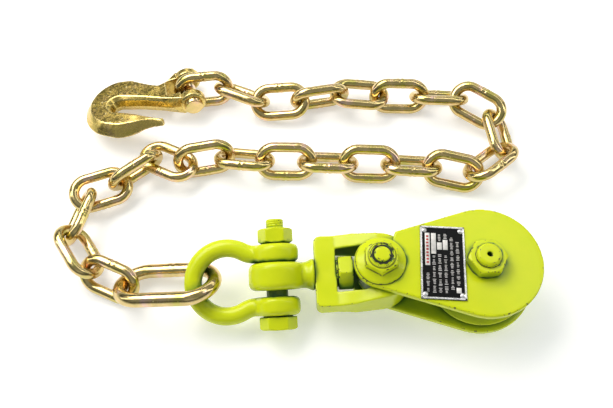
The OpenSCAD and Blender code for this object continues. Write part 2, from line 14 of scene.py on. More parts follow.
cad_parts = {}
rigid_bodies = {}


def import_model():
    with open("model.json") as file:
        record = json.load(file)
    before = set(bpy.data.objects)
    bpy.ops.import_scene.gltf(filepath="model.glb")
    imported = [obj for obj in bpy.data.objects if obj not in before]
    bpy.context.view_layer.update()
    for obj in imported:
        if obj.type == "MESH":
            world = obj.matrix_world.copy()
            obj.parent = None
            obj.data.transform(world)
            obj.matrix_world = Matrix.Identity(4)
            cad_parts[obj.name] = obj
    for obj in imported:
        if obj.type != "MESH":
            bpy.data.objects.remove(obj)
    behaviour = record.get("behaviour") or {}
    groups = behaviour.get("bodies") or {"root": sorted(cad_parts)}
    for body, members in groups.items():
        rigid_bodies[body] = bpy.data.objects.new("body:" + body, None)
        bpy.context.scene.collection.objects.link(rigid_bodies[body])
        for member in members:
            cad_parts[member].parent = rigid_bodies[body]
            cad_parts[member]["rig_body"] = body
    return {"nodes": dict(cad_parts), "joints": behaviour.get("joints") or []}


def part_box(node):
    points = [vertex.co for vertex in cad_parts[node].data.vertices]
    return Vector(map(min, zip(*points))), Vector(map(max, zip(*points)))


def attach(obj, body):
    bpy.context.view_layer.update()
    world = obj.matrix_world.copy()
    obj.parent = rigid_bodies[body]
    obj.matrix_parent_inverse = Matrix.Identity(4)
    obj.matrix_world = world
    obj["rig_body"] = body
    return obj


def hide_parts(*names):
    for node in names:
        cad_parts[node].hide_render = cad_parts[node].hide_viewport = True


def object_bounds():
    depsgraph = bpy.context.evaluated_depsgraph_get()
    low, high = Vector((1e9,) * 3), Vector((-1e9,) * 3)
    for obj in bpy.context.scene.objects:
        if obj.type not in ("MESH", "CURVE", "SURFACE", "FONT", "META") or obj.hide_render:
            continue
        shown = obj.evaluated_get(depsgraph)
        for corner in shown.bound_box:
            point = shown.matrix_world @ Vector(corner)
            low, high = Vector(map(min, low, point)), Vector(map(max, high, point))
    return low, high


bl_info = {
    "name": "Snatch Block Dresser",
    "version": (1, 0, 0),
    "blender": (4, 5, 0),
    "location": "3D View > Sidebar > Snatch Block",
    "description": "Paint, plating, threads and nameplate for a snatch block with chain and grab hook",
    "category": "Object",
}

MM = 0.001
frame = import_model()
NODES = frame["nodes"]
CAD_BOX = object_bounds()
CHAIN_LINKS = sorted(name for name in NODES if name.startswith("chain_link_"))

# round forms that are drawn over the solids
CHAIN_WIRE, MASTER_WIRE = 8.4 * MM, 10.8 * MM
AXLE_THREAD_R, AXLE_PITCH = 8.75 * MM, 1.9 * MM
SHACKLE_THREAD_R, SHACKLE_PITCH = 6.3 * MM, 1.7 * MM
LOCK_RING_BORE_R, LOCK_RING_EDGE = 6.3 * MM, 1.7 * MM
SWIVEL_COLLAR_R = 11.6 * MM

# size of the humps and hollows that a forging hammer leaves
FORGE_PATCH = 14 * MM


# ---- what a user would change ----


def tint(name, description, default):
    """A colour setting."""
    return FloatVectorProperty(
        name=name, description=description, subtype="COLOR", size=3, min=0, max=1, default=default
    )


def millimetres(name, description, default, low, high):
    """A length setting, given in millimetres and kept in metres."""
    return FloatProperty(
        name=name, description=description, default=default * MM, min=low * MM, max=high * MM, unit="LENGTH"
    )


def fraction(name, description, default):
    """A setting from 0 to 1."""
    return FloatProperty(name=name, description=description, default=default, min=0, max=1)


def turned(name, description, degrees):
    """An angle setting, given in degrees and kept in radians."""
    return FloatProperty(
        name=name, description=description, default=math.radians(degrees), subtype="ANGLE"
    )


class PaintSettings(bpy.types.PropertyGroup):
    """The yellow-green paint of the block and shackle."""

    color: tint("Paint", "Colour of the paint on a face in full light", (0.655, 0.735, 0.006))
    # darker in the hollows of the surface: paint that pooled there, with painted shade in the creases
    hollow_pool_and_shade_color: tint(
        "Pooled paint", "Colour where the paint has pooled in corners and grooves", (0.16, 0.24, 0.012)
    )
    # painted shade: the darker, greener colour given to faces that other pieces wall in, where shade falls
    walled_in_shade_color: tint(
        "Inner paint", "Colour of the thinner paint on faces that other pieces wall in", (0.13, 0.27, 0.03)
    )
    # painted shade: the near-black colour given to faces deep inside the block, where shade falls
    deep_shade_color: tint(
        "Grime", "Colour of the greasy dirt on the paint deep inside the block", (0.03, 0.085, 0.02)
    )
    chip_color: tint(
        "Chips", "Colour of the steel that shows where paint is chipped off an edge", (0.05, 0.055, 0.02)
    )
    roughness: fraction("Roughness", "Roughness of the paint", 0.25)
    skin: millimetres("Skin step", "Grid step of the paint skin laid over each solid", 0.6, 0.3, 2)


class PlatingSettings(bpy.types.PropertyGroup):
    """The yellow zinc plating of the chain and hook."""

    gold: tint("Gold", "Main colour of the plating", (0.60, 0.46, 0.20))
    pink: tint("Pink", "Colour of the pink patches in the plating", (0.74, 0.51, 0.41))
    green: tint("Green", "Colour of the green patches in the plating", (0.54, 0.47, 0.13))
    roughness: fraction("Roughness", "Roughness of the plated wire", 0.15)
    forged_roughness: fraction("Forged roughness", "Roughness of the plated hook", 0.22)


class WireSettings(bpy.types.PropertyGroup):
    """How finely the round wire of the links is drawn."""

    around: IntProperty(
        name="Steps around", description="Faces around a link's wire", default=24, min=8, max=64
    )
    step: millimetres("Step along", "Length of a face along a link's wire", 1.3, 0.3, 4)
    weld_rise: millimetres("Weld rise", "Height of the weld's ridges over the wire", 0.28, 0, 1)


class NameplateSettings(bpy.types.PropertyGroup):
    """The riveted nameplate with its blank fields and plain marks."""

    turn: turned("Turn", "How far the nameplate is turned on the cheek", -3)
    border: millimetres("Border", "Width of the bright raised border", 1.5, 0.5, 4)
    rise: millimetres("Border rise", "Height of the border over the field", 0.45, 0.1, 1)
    mark: millimetres("Mark width", "Width of a row of plain marks", 2.4, 0.3, 3)


class StageSettings(bpy.types.PropertyGroup):
    """Floor, lamps and camera."""

    camera_at: FloatVectorProperty(
        name="Camera",
        description="Place of the camera",
        subtype="TRANSLATION",
        default=(-0.128, -0.2016, 0.5333),
    )
    tilt: turned("Tilt", "Tilt of the camera from straight down", 26.9)
    lens: FloatProperty(name="Lens", description="Focal length in mm", default=43.28, min=10)
    floor: tint("Floor", "Colour of the floor", (0.86, 0.86, 0.86))
    floor_glow: FloatProperty(
        name="Floor glow", description="Light that the floor gives off by itself", default=0.36, min=0
    )
    key_power: FloatProperty(name="Key", description="Power of the large lamp", default=8.9)
    fill_power: FloatProperty(name="Fill", description="Power of the front lamp", default=0.2)
    rim_power: FloatProperty(name="Strip", description="Power of the strip lamps", default=1.25)


# ---- geometry ----


def into_scene(name, mesh):
    """A new object for a mesh, in the shared frame."""
    piece = bpy.data.objects.new(name, mesh)
    bpy.context.scene.collection.objects.link(piece)
    return piece


def drawn(name, places, faces):
    """A new object from corner places and faces."""
    mesh = bpy.data.meshes.new(name)
    mesh.from_pydata([tuple(p) for p in places], [], faces)
    mesh.update()
    return into_scene(name, mesh)


def body_of_node(node):
    """Name of the body that carries a node."""
    return NODES[node]["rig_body"]


def hinge_of(node):
    """Place and axis of the joint that carries the node's body."""
    joint = next(j for j in frame["joints"] if j["child"] == body_of_node(node))
    return Vector(joint["pos_m"]), Vector(joint["axis"]).normalized()


def skin_over(node, name, step, soften):
    """A closed skin of even faces over a solid, with its corners softened."""
    return remeshed(into_scene(name, NODES[node].data.copy()), step, soften)


def remeshed(piece, step, soften):
    """The piece as one closed mesh of even faces, smoothed."""
    skin = piece.modifiers.new("Skin", "REMESH")
    skin.mode = "VOXEL"
    skin.voxel_size = step
    soft = piece.modifiers.new("Soften", "SMOOTH")
    soft.factor = 0.5
    soft.iterations = soften
    bpy.context.view_layer.update()
    softened = piece.evaluated_get(bpy.context.evaluated_depsgraph_get())
    mesh = bpy.data.meshes.new_from_object(softened)
    piece.modifiers.clear()
    piece.data = mesh
    mesh.name = piece.name
    return piece


def vertex_table(mesh):
    """The mesh's vertices as rows of x, y, z."""
    flat = np.empty(len(mesh.vertices) * 3, np.float64)
    mesh.vertices.foreach_get("co", flat)
    return flat.reshape(-1, 3)


def normal_table(mesh):
    """The mesh's vertex normals as rows of x, y, z."""
    flat = np.empty(len(mesh.vertices) * 3, np.float64)
    mesh.vertex_normals.foreach_get("vector", flat)
    return flat.reshape(-1, 3)


def hammer(piece, depth, size, swell=0.0):
    """Uneven forged surface: moves each vertex along its normal by swell and a smooth noise."""
    mesh = piece.data
    places = vertex_table(mesh)
    normals = normal_table(mesh)
    lifts = [noise.noise(Vector(p) / size) for p in places]
    places += normals * (np.array(lifts) * depth + swell)[:, None]
    mesh.vertices.foreach_set("co", places.ravel())
    mesh.update()
    return piece


WALLS = []


def walls():
    """All solids but the small links as one tree that rays can be cast at, built once."""
    if not WALLS:
        places, faces = [], []
        for node in NODES:
            if node in CHAIN_LINKS:
                continue
            mesh = NODES[node].data
            base = len(places)
            places += vertex_table(mesh).tolist()
            faces += [[base + v for v in face.vertices] for face in mesh.polygons]
        WALLS.append(BVHTree.FromPolygons(places, faces))
    return WALLS[0]


def ray_fan(rays):
    """Ways over the half ball round +Z, denser towards its top."""
    golden = math.pi * (3 - math.sqrt(5))
    height = np.sqrt((np.arange(rays) + 0.5) / rays)
    turn = golden * np.arange(rays)
    flat = np.sqrt(1 - height**2)
    return [Vector(v) for v in zip(flat * np.cos(turn), flat * np.sin(turn), height)]


def smoothed_values(mesh, values, passes):
    """The vertex values, mixed a number of times with the mean of their neighbours."""
    edges = np.empty(len(mesh.edges) * 2, np.int32)
    mesh.edges.foreach_get("vertices", edges)
    a, b = edges.reshape(-1, 2).T
    count = np.bincount(a, minlength=len(values)) + np.bincount(b, minlength=len(values))
    for _ in range(passes):
        total = np.bincount(a, values[b], len(values)) + np.bincount(b, values[a], len(values))
        values = 0.5 * values + 0.5 * total / np.maximum(count, 1)
    return values


def mark_recesses(piece, cell=2.5 * MM, reach=45 * MM, rays=20, off_surface=1.0 * MM, passes=12):
    """Stores for each vertex how walled in it is, 0 in the open to 1 deep inside, as "recess".

    The rays are cast once for each small cell of the surface, and the values are then smoothed.
    """
    # the paint turns these values into painted shade in walled-in places
    mesh = piece.data
    places = vertex_table(mesh)
    normals = normal_table(mesh)
    keys = np.hstack([np.floor(places / cell), np.round(normals)]).astype(np.int64)
    _, first, owner = np.unique(keys, axis=0, return_index=True, return_inverse=True)
    fan = ray_fan(rays)
    tree = walls()
    closed = np.zeros(len(first))
    for k, vertex in enumerate(first):
        normal = Vector(normals[vertex])
        start = Vector(places[vertex]) + normal * off_surface
        upright = normal.to_track_quat("Z", "Y")
        for way in fan:
            distance = tree.ray_cast(start, upright @ way, reach)[3]
            if distance is not None:
                closed[k] += 1 - 0.5 * distance / reach
    values = smoothed_values(mesh, closed[owner.ravel()] / rays, passes)
    mesh.attributes.new("recess", "FLOAT", "POINT").data.foreach_set("value", values.astype(np.float32))
    return piece


def top_of(node):
    """Height of a node's highest point."""
    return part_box(node)[1].z


def span(node, origin, axis):
    """Lowest and highest reach of a node along an axis, measured from origin."""
    along = (vertex_table(NODES[node].data) - np.array(origin)) @ np.array(axis)
    return float(along.min()), float(along.max())


def link_axes(node):
    """Centre, long axis and width axis of an oval link, from the surface of its solid."""
    mesh = NODES[node].data
    mesh.calc_loop_triangles()
    corners = np.empty(len(mesh.loop_triangles) * 3, np.int32)
    mesh.loop_triangles.foreach_get("vertices", corners)
    tri = vertex_table(mesh)[corners.reshape(-1, 3)]
    area = np.linalg.norm(np.cross(tri[:, 1] - tri[:, 0], tri[:, 2] - tri[:, 0]), axis=1)
    middle = (tri.mean(axis=1) * area[:, None]).sum(axis=0) / area.sum()
    spread = np.zeros((3, 3))
    for corner in range(3):
        away = tri[:, corner] - middle
        spread += (away * area[:, None]).T @ away
    vectors = np.linalg.eigh(spread)[1]
    width_axis, long_axis = vectors[:, 1], vectors[:, 2]
    low, high = span(node, middle, width_axis)
    if high > -low:
        width_axis = -width_axis
    return Vector(middle), Vector(long_axis), Vector(width_axis)


def tube_faces(rings, around, closed=True):
    """Faces between neighbouring rings of corners; a closed tube joins its last ring to its first."""
    faces = []
    for i in range(rings if closed else rings - 1):
        near, far = i * around, (i + 1) % rings * around
        for k in range(around):
            following = (k + 1) % around
            faces.append((near + k, near + following, far + following, far + k))
    return faces


def oval_path(length, width, wire):
    """Function from a distance along the oval centre line to its place and outward direction."""
    radius = (width - wire) / 2
    side = (length - width) / 2
    bend = math.pi * radius
    total = 2 * bend + 4 * side

    def at(distance):
        d = distance % total
        if d >= total / 2:
            place, out = at(d - total / 2)
            return -place, -out
        if d < side:
            return Vector((d, -radius, 0)), Vector((0, -1, 0))
        if d < side + bend:
            angle = (d - side) / radius - math.pi / 2
            out = Vector((math.cos(angle), math.sin(angle), 0))
            return Vector((side, 0, 0)) + out * radius, out
        return Vector((2 * side + bend - d, radius, 0)), Vector((0, 1, 0))

    return at, total


def weld_profile(distance, wire, rise):
    """Growth of the wire near its weld: two ridges of upset metal with a seam between them."""
    ridge = 0.22 * wire
    wide = 0.13 * wire
    lump = math.exp(-(((abs(distance) - ridge) / wide) ** 2))
    swell = 0.4 * math.exp(-((distance / (0.5 * wire)) ** 2))
    seam = 0.9 * math.exp(-((distance / (0.06 * wire)) ** 2))
    return rise * (0.7 * lump + swell - seam)


def oval_link(name, node, wire, seed, settings):
    """A welded oval link drawn along its solid's centre line."""
    centre, long_axis, width_axis = link_axes(node)
    low, high = span(node, centre, long_axis)
    wide = 2 * span(node, centre, width_axis)[1]
    at, total = oval_path(high - low, wide, wire)
    steps = max(24, round(total / settings.step))
    around = settings.around
    turn = Matrix((long_axis, width_axis, long_axis.cross(width_axis))).transposed()
    rng = random.Random(seed)
    ripple = rng.uniform(0, 50)
    shrink, ripple_height, ripple_length = 0.05 * MM, 0.03 * MM, 4 * MM
    # the steps crowd at the weld, where the surface changes fastest
    weld = 0.95 * wire
    plain = [total * i / steps for i in range(steps)]
    fine = [0.1 * wire * k % total for k in range(-9, 10)]
    stops = sorted([s for s in plain if weld < s < total - weld] + fine)
    places = []
    for s in stops:
        place, out = at(s)
        grow = weld_profile(min(s, total - s), wire, settings.weld_rise)
        for k in range(around):
            angle = 2 * math.pi * k / around
            radial = out * math.cos(angle) + Vector((0, 0, 1)) * math.sin(angle)
            spot = Vector((s / ripple_length + ripple, 1.5 * math.cos(angle), 1.5 * math.sin(angle)))
            uneven = ripple_height * noise.noise(spot)
            # the weld stands out less on the inside of the link
            share = 1 if math.cos(angle) > -0.2 else 0.35
            radius = wire / 2 - shrink + grow * share + uneven
            places.append(centre + turn @ (place + radial * radius))
    faces = [(a, d, c, b) for a, b, c, d in tube_faces(len(stops), around)]
    return drawn(name, places, faces)


def thread_sleeve(name, origin, axis, start, end, radius, pitch):
    """A helical thread, drawn as a sleeve round a stud from start to end along axis."""
    axis = Vector(axis).normalized()
    across = axis.orthogonal().normalized()
    other = axis.cross(across)
    around, per_turn = 48, 8
    depth = 0.32 * pitch
    rows = max(4, int((end - start) / pitch * per_turn))
    places = []
    for i in range(rows + 1):
        s = start + (end - start) * i / rows
        fade = min(1, (end - s) / (0.7 * pitch))
        for k in range(around):
            angle = 2 * math.pi * k / around
            phase = ((s / pitch) - k / around) % 1
            tooth = 1 - abs(2 * phase - 1)
            r = radius + depth * (min(1, 1.5 * tooth) - 0.45) * fade
            out = across * math.cos(angle) + other * math.sin(angle)
            places.append(Vector(origin) + axis * s + out * r)
    return drawn(name, places, tube_faces(rows + 1, around, closed=False))


def crack_ring(name, node, centre, radius, width, axis=(0, 0, 1)):
    """A thin dark ring round a seated piece, uneven along its way: painted contact shade and cracked paint
    in the seam where the pieces meet.
    """
    around = 96
    axis = Vector(axis)
    across = axis.orthogonal().normalized()
    other = axis.cross(across)
    inside, thick = radius - 0.4 * MM, 0.12 * MM
    places = []
    for k in range(around):
        angle = 2 * math.pi * k / around
        out = across * math.cos(angle) + other * math.sin(angle)
        spread = width * (0.75 + 0.5 * noise.noise(out * 3 + Vector((radius / MM, 0, 0))))
        for r, rise in ((inside, 0), (radius + spread, 0), (radius + 0.6 * spread, thick), (inside, thick)):
            places.append(Vector(centre) + out * r + axis * rise)
    ring = drawn(name, places, tube_faces(around, 4))
    return finish_piece(ring, node, "crack")


def bars(name, boxes):
    """One mesh of thin flat bars; each box is (centre, half size, turn about Z)."""
    places, faces = [], []
    for centre, half, turn in boxes:
        base = len(places)
        spin = Matrix.Rotation(turn, 3, "Z")
        chamfer = min(half[0], half[1], half[2]) * 0.6
        for z, inset in ((-half[2], 0), (half[2] - chamfer, 0), (half[2], chamfer)):
            for sx, sy in ((-1, -1), (1, -1), (1, 1), (-1, 1)):
                corner = Vector((sx * (half[0] - inset), sy * (half[1] - inset), z))
                places.append(Vector(centre) + spin @ corner)
        box = tube_faces(3, 4, closed=False) + [(8, 9, 10, 11), (3, 2, 1, 0)]
        faces += [tuple(base + corner for corner in face) for face in box]
    return drawn(name, places, faces)


def hook_axes():
    """Middle of the hook's pin, the way from bowl to pin, the pin's way and the hook's upright."""
    origin, across = hinge_of("grab_hook")
    flat = vertex_table(NODES["grab_hook"].data) - np.array(origin)
    middle = Vector((flat.min(axis=0) + flat.max(axis=0)) / 2)
    along = (-middle + across * middle.dot(across)).normalized()
    upright = along.cross(across)
    if upright.z < 0:
        across, upright = -across, -upright
    return origin, along, across, upright


def hook_bars():
    """Rings of the forged bar, from the clevis round the bowl to the point.

    Each row gives the throat side, the outer side, half the thickness and the two bevels, in mm,
    from the bowl's centre with X out along the throat.
    """
    rows = [
        ((36.1, 8.4), (25.4, 30.0), 7.5, 4.2, 4.2),
        ((29.5, 7.9), (20.2, 29.2), 7.8, 4.4, 3.5),
        ((16.0, 7.0), (11.5, 30.9), 7.8, 4.8, 3.8),
        ((5.0, 5.6), (3.0, 33.0), 8.0, 5.2, 4.4),
    ]
    turns, throat_r, bowl_r = 8, 5, 31.6
    for k in range(turns + 1):
        angle = math.radians(90 + 180 * k / turns)
        # the bowl is fuller beside the clevis, slimmer towards the point and flatter at its back
        reach = bowl_r + 1.7 * math.sin(angle) * abs(math.sin(angle)) - 1.6 * math.cos(angle) ** 2
        inner = (throat_r * math.cos(angle), throat_r * math.sin(angle))
        outer = (reach * math.cos(angle), reach * math.sin(angle))
        rows.append((inner, outer, 8.0, 5.5, 4.6 + 3.0 * k / turns))
    rows += [
        ((9.0, -5.1), (9.5, -30.2), 7.9, 5.0, 8.8),
        ((17.0, -5.4), (18.0, -26.3), 7.3, 4.4, 8.4),
        ((25.0, -5.7), (26.0, -19.6), 5.6, 3.6, 7.0),
        ((33.0, -6.0), (33.4, -15.3), 4.1, 2.6, 5.6),
        ((38.0, -6.4), (38.0, -13.7), 3.5, 2.0, 4.2),
        ((40.4, -7.8), (40.3, -12.7), 2.4, 1.4, 2.2),
        ((41.4, -9.6), (41.4, -11.6), 1.0, 0.5, 0.5),
    ]
    return rows


def smooth_rows(rows, between):
    """Rows of numbers with steps put in between on a smooth curve through them."""
    table = np.array([[*a, *b, *rest] for a, b, *rest in rows])
    ends = np.vstack([2 * table[0] - table[1], table, 2 * table[-1] - table[-2]])
    out = []
    for i in range(1, len(ends) - 2):
        before, start, stop, after = ends[i - 1 : i + 3]
        bend = 2 * before - 5 * start + 4 * stop - after
        twist = 3 * start - before - 3 * stop + after
        for k in range(between):
            t = k / between
            out.append(0.5 * (2 * start + (stop - before) * t + bend * t**2 + twist * t**3))
    out.append(ends[-2])
    return out


def hook_section(row):
    """Corners of the bar's section at one row: place in the hook's plane and height over it."""
    inner, outer, half, bevel_in, bevel_out = Vector(row[0:2]), Vector(row[2:4]), *row[4:7]
    way = (outer - inner).normalized()
    # the middle of each bevel stands out a little, so that it is round
    upper = [
        (inner + way * bevel_in * 0.45, half * 0.72),
        (inner + way * bevel_in, half),
        (outer - way * bevel_out, half),
        (outer - way * bevel_out * 0.62, half * 0.66),
    ]
    return [(inner, 0), *((place, -height) for place, height in upper), (outer, 0), *reversed(upper)]


def hook_clevis(origin, along, reach=29 * MM):
    """The clevis end of the hook's solid, cut off square at reach from the pin and closed there."""
    clevis = bmesh.new()
    clevis.from_mesh(NODES["grab_hook"].data)
    bmesh.ops.remove_doubles(clevis, verts=clevis.verts, dist=1e-6)
    cut = bmesh.ops.bisect_plane(
        clevis,
        geom=clevis.verts[:] + clevis.edges[:] + clevis.faces[:],
        plane_co=origin - along * reach,
        plane_no=-along,
        clear_outer=True,
    )
    rim = [edge for edge in cut["geom_cut"] if isinstance(edge, bmesh.types.BMEdge)]
    bmesh.ops.contextual_create(clevis, geom=rim)
    mesh = bpy.data.meshes.new("hook_clevis")
    clevis.to_mesh(mesh)
    clevis.free()
    return mesh


def forge_hook(name):
    """The grab hook: a bevelled bar swept round the bowl, joined to the solid's clevis."""
    origin, along, across, upright = hook_axes()
    bowl_from_pin, throat_turn = Vector((-60, -5)), math.radians(-26)
    c, s = math.cos(throat_turn), math.sin(throat_turn)

    def place(x, y, z):
        flat = Vector((c * x - s * y, s * x + c * y)) + bowl_from_pin
        return origin + (along * flat.x + across * flat.y + upright * z) * MM

    work = bmesh.new()
    sections = [hook_section(row) for row in smooth_rows(hook_bars(), 5)]
    rings = [[work.verts.new(place(p.x, p.y, z)) for p, z in section] for section in sections]
    for first, second in zip(rings, rings[1:]):
        for k in range(len(first)):
            work.faces.new((first[k - 1], first[k], second[k], second[k - 1]))
    work.faces.new(rings[0])
    work.faces.new(rings[-1][::-1])
    part = hook_clevis(origin, along)
    work.from_mesh(part)
    bpy.data.meshes.remove(part)
    bmesh.ops.recalc_face_normals(work, faces=work.faces)
    mesh = bpy.data.meshes.new(name)
    work.to_mesh(mesh)
    work.free()
    piece = remeshed(into_scene(name, mesh), 0.5 * MM, 4)
    return hammer(piece, 0.2 * MM, 9 * MM)


# ---- materials ----

FORGED_GOLD = (0.60, 0.44, 0.09)
PITTED_GOLD = (0.22, 0.15, 0.03)
RUBBED_AND_HIGHLIGHT_GOLD = (0.86, 0.72, 0.34)
ZINC_BROWN = (0.10, 0.065, 0.02)
# grey of the painted shadow on the floor seen through the yoke's window
FLOOR_PAINTED_SHADOW = (0.22, 0.25, 0.18)


def group_with(name, inputs, outputs):
    """A new shader node group with named sockets; returns it and its two end nodes."""
    group = bpy.data.node_groups.new(name, "ShaderNodeTree")
    for label, kind, value in inputs:
        socket = group.interface.new_socket(label, in_out="INPUT", socket_type=kind)
        if value is not None:
            socket.default_value = value
    for label, kind in outputs:
        group.interface.new_socket(label, in_out="OUTPUT", socket_type=kind)
    return group, group.nodes.new("NodeGroupInput"), group.nodes.new("NodeGroupOutput")


def set_values(node, **values):
    """Sets a node's inputs by their labels, with _ for a space."""
    for label, value in values.items():
        node.inputs[label.replace("_", " ")].default_value = value
    return node


def wire_up(tree, *pairs):
    """Links each pair of an output and an input."""
    for source, target in pairs:
        tree.links.new(source, target)


def math_node(tree, operation, first=None, second=None, clamp=False):
    """Works on one or two values, each a number or another node's output."""
    node = tree.nodes.new("ShaderNodeMath")
    node.operation = operation
    node.use_clamp = clamp
    for socket, value in zip(node.inputs, (first, second)):
        if isinstance(value, (int, float)):
            socket.default_value = value
        elif value is not None:
            tree.links.new(value, socket)
    return node.outputs[0]


def range_node(tree, value, low, high, to_low=0.0, to_high=1.0):
    """Maps a value from one span to another and holds it there."""
    node = tree.nodes.new("ShaderNodeMapRange")
    set_values(node, From_Min=low, From_Max=high, To_Min=to_low, To_Max=to_high)
    tree.links.new(value, node.inputs["Value"])
    return node.outputs["Result"]


def noise_node(tree, vector, scale, detail=3.0, rough=0.5):
    """Smooth noise over a place, from 0 to 1."""
    node = tree.nodes.new("ShaderNodeTexNoise")
    set_values(node, Scale=scale, Detail=detail, Roughness=rough)
    tree.links.new(vector, node.inputs["Vector"])
    return node.outputs["Fac"]


def mix_color(tree, factor, first, second):
    """The first colour where factor is 0, the second where it is 1; each a colour or an output."""
    node = tree.nodes.new("ShaderNodeMix")
    node.data_type = "RGBA"
    for socket, value in ((node.inputs[6], first), (node.inputs[7], second)):
        if isinstance(value, bpy.types.NodeSocket):
            tree.links.new(value, socket)
        else:
            socket.default_value = opaque(value)
    if isinstance(factor, float):
        node.inputs[0].default_value = factor
    else:
        tree.links.new(factor, node.inputs[0])
    return node.outputs[2]


def opaque(color):
    """A colour with its alpha."""
    return (*color, 1.0)


def edge_group():
    """Masks for raised edges and for hollows, from the bend of the surface."""
    group, start, end = group_with(
        "Edges And Hollows",
        [("Edge Width", "NodeSocketFloat", 0.04), ("Hollow Width", "NodeSocketFloat", 0.04)],
        [("Edge", "NodeSocketFloat"), ("Hollow", "NodeSocketFloat")],
    )
    bend = group.nodes.new("ShaderNodeNewGeometry").outputs["Pointiness"]
    above = math_node(group, "SUBTRACT", bend, 0.5)
    edge = math_node(group, "DIVIDE", above, start.outputs["Edge Width"], clamp=True)
    below = math_node(group, "SUBTRACT", 0.5, bend)
    hollow = math_node(group, "DIVIDE", below, start.outputs["Hollow Width"], clamp=True)
    wire_up(group, (edge, end.inputs["Edge"]), (hollow, end.inputs["Hollow"]))
    return group


def grain_group():
    """Fine and coarse unevenness of a coated surface, as a height and a slow shade."""
    group, start, end = group_with(
        "Coat Grain",
        [("Fine", "NodeSocketFloat", 700.0), ("Coarse", "NodeSocketFloat", 90.0)],
        [("Height", "NodeSocketFloat"), ("Shade", "NodeSocketFloat"), ("Speck", "NodeSocketFloat")],
    )
    place = group.nodes.new("ShaderNodeTexCoord").outputs["Object"]
    waves = {}
    for label, detail in (("Fine", 3), ("Coarse", 2)):
        wave = set_values(group.nodes.new("ShaderNodeTexNoise"), Detail=detail)
        wire_up(group, (place, wave.inputs["Vector"]), (start.outputs[label], wave.inputs["Scale"]))
        waves[label] = wave.outputs["Fac"]
    speck = noise_node(group, place, 420, 4, 0.6)
    height = math_node(group, "ADD", waves["Fine"], waves["Coarse"])
    wire_up(
        group,
        (height, end.inputs["Height"]),
        (waves["Coarse"], end.inputs["Shade"]),
        (speck, end.inputs["Speck"]),
    )
    return group


def new_material(name):
    """A new material, its node tree and its main shader."""
    material = bpy.data.materials.new(name)
    material.use_nodes = True
    tree = material.node_tree
    return material, tree, tree.nodes["Principled BSDF"]


def place_group(tree, group, **values):
    """Puts a node group into a material, with its own values."""
    node = tree.nodes.new("ShaderNodeGroup")
    node.node_tree = group
    return set_values(node, **values)


def bump(tree, height, strength, distance):
    """A normal that follows a height."""
    node = tree.nodes.new("ShaderNodeBump")
    set_values(node, Strength=strength, Distance=distance)
    tree.links.new(height, node.inputs["Height"])
    return node.outputs["Normal"]


def paint_material(name, settings, groups, chips=0.3, pool=1.0, worn=0.0, pooled_and_shaded_color=None):
    """Thick gloss paint, darker in its hollows where it pooled and where shade is painted, with painted
    shade where other pieces wall it in, and chipped along edges.
    """
    material, tree, shader = new_material(name)
    edges = place_group(tree, groups["edges"], Edge_Width=0.06, Hollow_Width=0.05)
    grain = place_group(tree, groups["grain"], Fine=650.0, Coarse=70.0)
    red, green, blue = settings.color
    shade = range_node(tree, grain.outputs["Shade"], 0.35, 0.65)
    color = mix_color(tree, shade, settings.color, (red * 0.95, green * 0.98, blue))
    # hollows: pooled paint with painted shade in the creases
    pooled = math_node(tree, "MULTIPLY", edges.outputs["Hollow"], pool, clamp=True)
    color = mix_color(tree, pooled, color, pooled_and_shaded_color or settings.hollow_pool_and_shade_color)
    # painted shade: faces that other pieces wall in are painted darker and greener, and near black deeper in
    walled = tree.nodes.new("ShaderNodeAttribute")
    walled.attribute_name = "recess"
    inner = range_node(tree, walled.outputs["Fac"], 0.18, 0.66)
    color = mix_color(tree, inner, color, settings.walled_in_shade_color)
    deep_shade = range_node(tree, walled.outputs["Fac"], 0.50, 0.95)
    color = mix_color(tree, deep_shade, color, settings.deep_shade_color)
    near_edge = math_node(tree, "ADD", edges.outputs["Edge"], worn)
    ragged = range_node(tree, grain.outputs["Speck"], 0.60 - 0.06 * chips, 0.66 - 0.06 * chips)
    chip = math_node(tree, "MULTIPLY", near_edge, ragged, clamp=True)
    chip = range_node(tree, chip, 0.30, 0.45)
    color = mix_color(tree, chip, color, settings.chip_color)
    rough = range_node(tree, chip, 0, 1, settings.roughness, 0.75)
    wire_up(
        tree,
        (color, shader.inputs["Base Color"]),
        (rough, shader.inputs["Roughness"]),
        (bump(tree, grain.outputs["Height"], 0.16, 0.25 * MM), shader.inputs["Normal"]),
    )
    set_values(shader, Coat_Weight=0.06, Coat_Roughness=0.16, Specular_IOR_Level=0.3)
    return material


